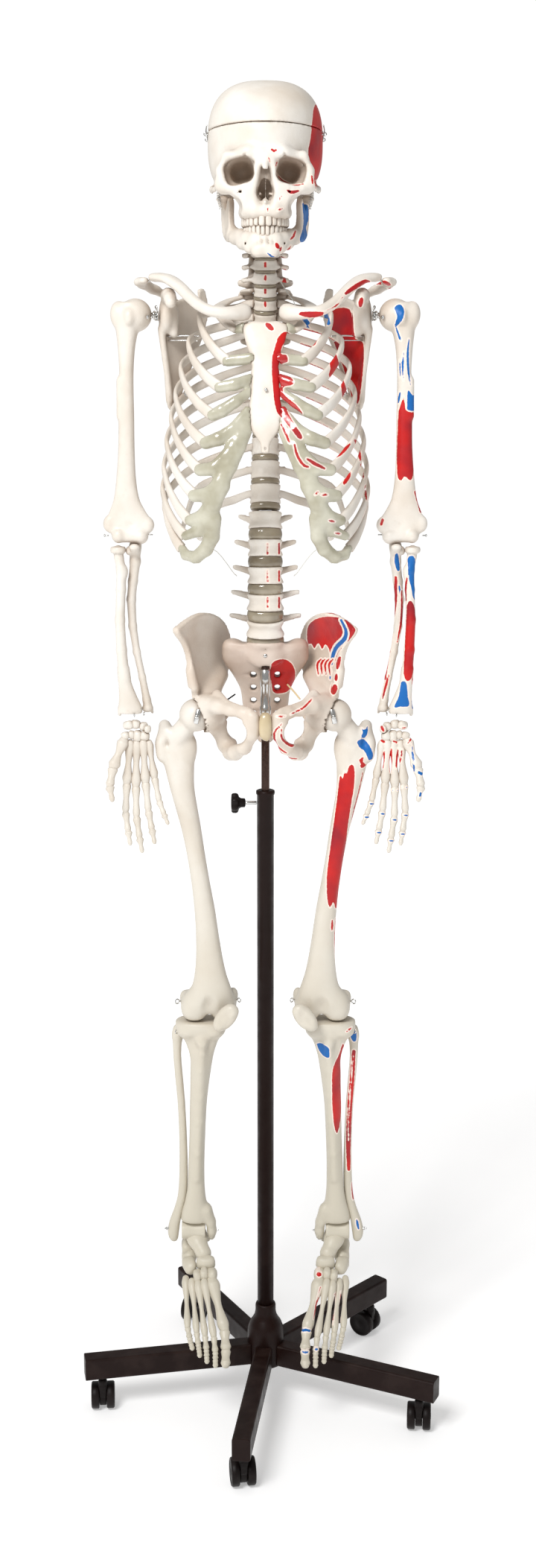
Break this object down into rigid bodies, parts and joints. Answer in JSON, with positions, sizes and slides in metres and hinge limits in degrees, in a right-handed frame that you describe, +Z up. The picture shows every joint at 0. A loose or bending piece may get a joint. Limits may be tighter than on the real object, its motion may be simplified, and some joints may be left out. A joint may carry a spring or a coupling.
{
  "type": "human skeleton model",
  "caption": "Life-size jointed teaching skeleton with painted muscle areas on its left side, hung on a rod in a roller stand.",
  "frame": {"origin": "on the floor, under the middle of the whole part", "axes": "+Z up along the pole, the figure faces -Y and its left side is towards +X"},
  "size_m": [0.5023, 0.501, 1.805],
  "materials": {
    "bone_plastic": "satin, moulded, with red and blue muscle areas painted on one side",
    "cartilage": "soft translucent grey",
    "stand_paint": "satin dark brown enamel",
    "rod_steel": "dark satin",
    "black_plastic": "satin black",
    "chrome_steel": "polished"
  },
  "bodies": {
    "stand": {"stand_hub": "stand_paint", "stand_tube": "stand_paint", "stand_leg_1": "stand_paint", "stand_leg_2": "stand_paint", "stand_leg_3": "stand_paint", "stand_leg_4": "stand_paint", "stand_leg_5": "stand_paint"},
    "knob": {"clamp_knob": "black_plastic"},
    "rod": {"stand_rod": "rod_steel"},
    "torso": {"lumbar_spine": "bone_plastic", "thoracic_spine": "bone_plastic", "cervical_spine": "bone_plastic", "ribs_left": "bone_plastic", "ribs_right": "bone_plastic", "rib_11_left": "bone_plastic", "rib_11_right": "bone_plastic", "rib_12_left": "bone_plastic", "rib_12_right": "bone_plastic", "sternum": "bone_plastic", "sacrum": "bone_plastic", "hip_bone_left": "bone_plastic", "hip_bone_right": "bone_plastic", "pubic_disc": "cartilage", "clavicle_left": "bone_plastic", "clavicle_right": "bone_plastic", "scapula_left": "bone_plastic", "scapula_right": "bone_plastic"},
    "head": {"cranium": "bone_plastic"},
    "cap": {"skull_cap": "bone_plastic"},
    "jaw": {"mandible": "bone_plastic"},
    "shoulder_left": {"shoulder_hook_left": "chrome_steel"},
    "upper_arm_left": {"humerus_left": "bone_plastic"},
    "forearm_left": {"ulna_left": "bone_plastic", "radius_left": "bone_plastic"},
    "hand_left": {"hand_left": "bone_plastic"},
    "thigh_left": {"femur_left": "bone_plastic", "patella_left": "bone_plastic"},
    "shank_left": {"tibia_left": "bone_plastic", "fibula_left": "bone_plastic"},
    "foot_left": {"foot_left": "bone_plastic"},
    "shoulder_right": {"shoulder_hook_right": "chrome_steel"},
    "upper_arm_right": {"humerus_right": "bone_plastic"},
    "forearm_right": {"ulna_right": "bone_plastic", "radius_right": "bone_plastic"},
    "hand_right": {"hand_right": "bone_plastic"},
    "thigh_right": {"femur_right": "bone_plastic", "patella_right": "bone_plastic"},
    "shank_right": {"tibia_right": "bone_plastic", "fibula_right": "bone_plastic"},
    "foot_right": {"foot_right": "bone_plastic"},
    "caster_1": {"caster_fork_1": "black_plastic"},
    "wheels_1": {"caster_wheels_1": "black_plastic"},
    "caster_2": {"caster_fork_2": "black_plastic"},
    "wheels_2": {"caster_wheels_2": "black_plastic"},
    "caster_3": {"caster_fork_3": "black_plastic"},
    "wheels_3": {"caster_wheels_3": "black_plastic"},
    "caster_4": {"caster_fork_4": "black_plastic"},
    "wheels_4": {"caster_wheels_4": "black_plastic"},
    "caster_5": {"caster_fork_5": "black_plastic"},
    "wheels_5": {"caster_wheels_5": "black_plastic"}
  },
  "joints": [
    {"name": "knob_turn", "type": "hinge", "parent": "stand", "child": "knob", "pos_m": [-0.0315, 0.011, 0.881], "axis": [-1, 0, 0], "range_deg": [0, 360]},
    {"name": "rod_height", "type": "slide", "parent": "stand", "child": "rod", "axis": [0, 0, 1], "range_m": [0, 0.1]},
    {"name": "torso_turn", "type": "hinge", "parent": "rod", "child": "torso", "pos_m": [0.0085, 0.011, 1.086], "axis": [0, 0, 1], "continuous": true},
    {"name": "head_turn", "type": "hinge", "parent": "torso", "child": "head", "pos_m": [0.0085, 0.017, 1.648], "axis": [0, 0, 1], "range_deg": [-60, 60]},
    {"name": "cap_lift", "type": "slide", "parent": "head", "child": "cap", "axis": [0, 0, 1], "range_m": [0, 0.08]},
    {"name": "jaw_open", "type": "hinge", "parent": "head", "child": "jaw", "pos_m": [0.0085, 0.007, 1.664], "axis": [1, 0, 0], "range_deg": [0, 25]},
    {"name": "shoulder_swing_left", "type": "hinge", "parent": "torso", "child": "shoulder_left", "pos_m": [0.1745, 0.013, 1.521], "axis": [-1, 0, 0], "range_deg": [-40, 120]},
    {"name": "shoulder_lift_left", "type": "hinge", "parent": "shoulder_left", "child": "upper_arm_left", "pos_m": [0.1745, 0.013, 1.521], "axis": [0, -1, 0], "range_deg": [0, 85]},
    {"name": "elbow_left", "type": "hinge", "parent": "upper_arm_left", "child": "forearm_left", "pos_m": [0.1885, 0.01, 1.24], "axis": [-1, 0, 0], "range_deg": [0, 110]},
    {"name": "wrist_left", "type": "hinge", "parent": "forearm_left", "child": "hand_left", "pos_m": [0.1795, 0.009, 0.998], "axis": [-1, 0, 0], "range_deg": [-50, 60]},
    {"name": "hip_left", "type": "hinge", "parent": "torso", "child": "thigh_left", "pos_m": [0.1015, -0.003, 1.004], "axis": [-1, 0, 0], "range_deg": [-10, 80]},
    {"name": "knee_left", "type": "hinge", "parent": "thigh_left", "child": "shank_left", "pos_m": [0.0925, 0.013, 0.594], "axis": [1, 0, 0], "range_deg": [0, 110]},
    {"name": "ankle_left", "type": "hinge", "parent": "shank_left", "child": "foot_left", "pos_m": [0.1085, 0.037, 0.244], "axis": [-1, 0, 0], "range_deg": [-5, 40]},
    {"name": "shoulder_swing_right", "type": "hinge", "parent": "torso", "child": "shoulder_right", "pos_m": [-0.1575, 0.013, 1.521], "axis": [-1, 0, 0], "range_deg": [-40, 120]},
    {"name": "shoulder_lift_right", "type": "hinge", "parent": "shoulder_right", "child": "upper_arm_right", "pos_m": [-0.1575, 0.013, 1.521], "axis": [0, 1, 0], "range_deg": [0, 85]},
    {"name": "elbow_right", "type": "hinge", "parent": "upper_arm_right", "child": "forearm_right", "pos_m": [-0.1715, 0.01, 1.24], "axis": [-1, 0, 0], "range_deg": [0, 110]},
    {"name": "wrist_right", "type": "hinge", "parent": "forearm_right", "child": "hand_right", "pos_m": [-0.1625, 0.009, 0.998], "axis": [-1, 0, 0], "range_deg": [-50, 60]},
    {"name": "hip_right", "type": "hinge", "parent": "torso", "child": "thigh_right", "pos_m": [-0.0845, -0.003, 1.004], "axis": [-1, 0, 0], "range_deg": [-10, 80]},
    {"name": "knee_right", "type": "hinge", "parent": "thigh_right", "child": "shank_right", "pos_m": [-0.0755, 0.013, 0.594], "axis": [1, 0, 0], "range_deg": [0, 110]},
    {"name": "ankle_right", "type": "hinge", "parent": "shank_right", "child": "foot_right", "pos_m": [-0.0915, 0.037, 0.244], "axis": [-1, 0, 0], "range_deg": [-5, 40]},
    {"name": "caster_swivel_1", "type": "hinge", "parent": "stand", "child": "caster_1", "pos_m": [-0.02038, -0.22423, 0.047], "axis": [0, 0, 1], "continuous": true},
    {"name": "wheels_roll_1", "type": "hinge", "parent": "caster_1", "child": "wheels_1", "pos_m": [-0.02164, -0.21532, 0.019], "axis": [0.9903, 0.1392, 0], "continuous": true},
    {"name": "caster_swivel_2", "type": "hinge", "parent": "stand", "child": "caster_2", "pos_m": [0.22329, -0.08916, 0.047], "axis": [0, 0, 1], "continuous": true},
    {"name": "wheels_roll_2", "type": "hinge", "parent": "caster_2", "child": "wheels_2", "pos_m": [0.22424, -0.08021, 0.019], "axis": [0.9945, -0.1045, 0], "continuous": true},
    {"name": "caster_swivel_3", "type": "hinge", "parent": "stand", "child": "caster_3", "pos_m": [0.17013, 0.18433, 0.047], "axis": [0, 0, 1], "continuous": true},
    {"name": "wheels_roll_3", "type": "hinge", "parent": "caster_3", "child": "wheels_3", "pos_m": [0.16276, 0.18949, 0.019], "axis": [0.5736, 0.8192, 0], "continuous": true},
    {"name": "caster_swivel_4", "type": "hinge", "parent": "stand", "child": "caster_4", "pos_m": [-0.1064, 0.21829, 0.047], "axis": [0, 0, 1], "continuous": true},
    {"name": "wheels_roll_4", "type": "hinge", "parent": "caster_4", "child": "wheels_4", "pos_m": [-0.10332, 0.22674, 0.019], "axis": [0.9397, -0.342, 0], "continuous": true},
    {"name": "caster_swivel_5", "type": "hinge", "parent": "stand", "child": "caster_5", "pos_m": [-0.22415, -0.03422, 0.047], "axis": [0, 0, 1], "continuous": true},
    {"name": "wheels_roll_5", "type": "hinge", "parent": "caster_5", "child": "wheels_5", "pos_m": [-0.22477, -0.02524, 0.019], "axis": [0.9976, 0.0698, 0], "continuous": true}
  ]
}
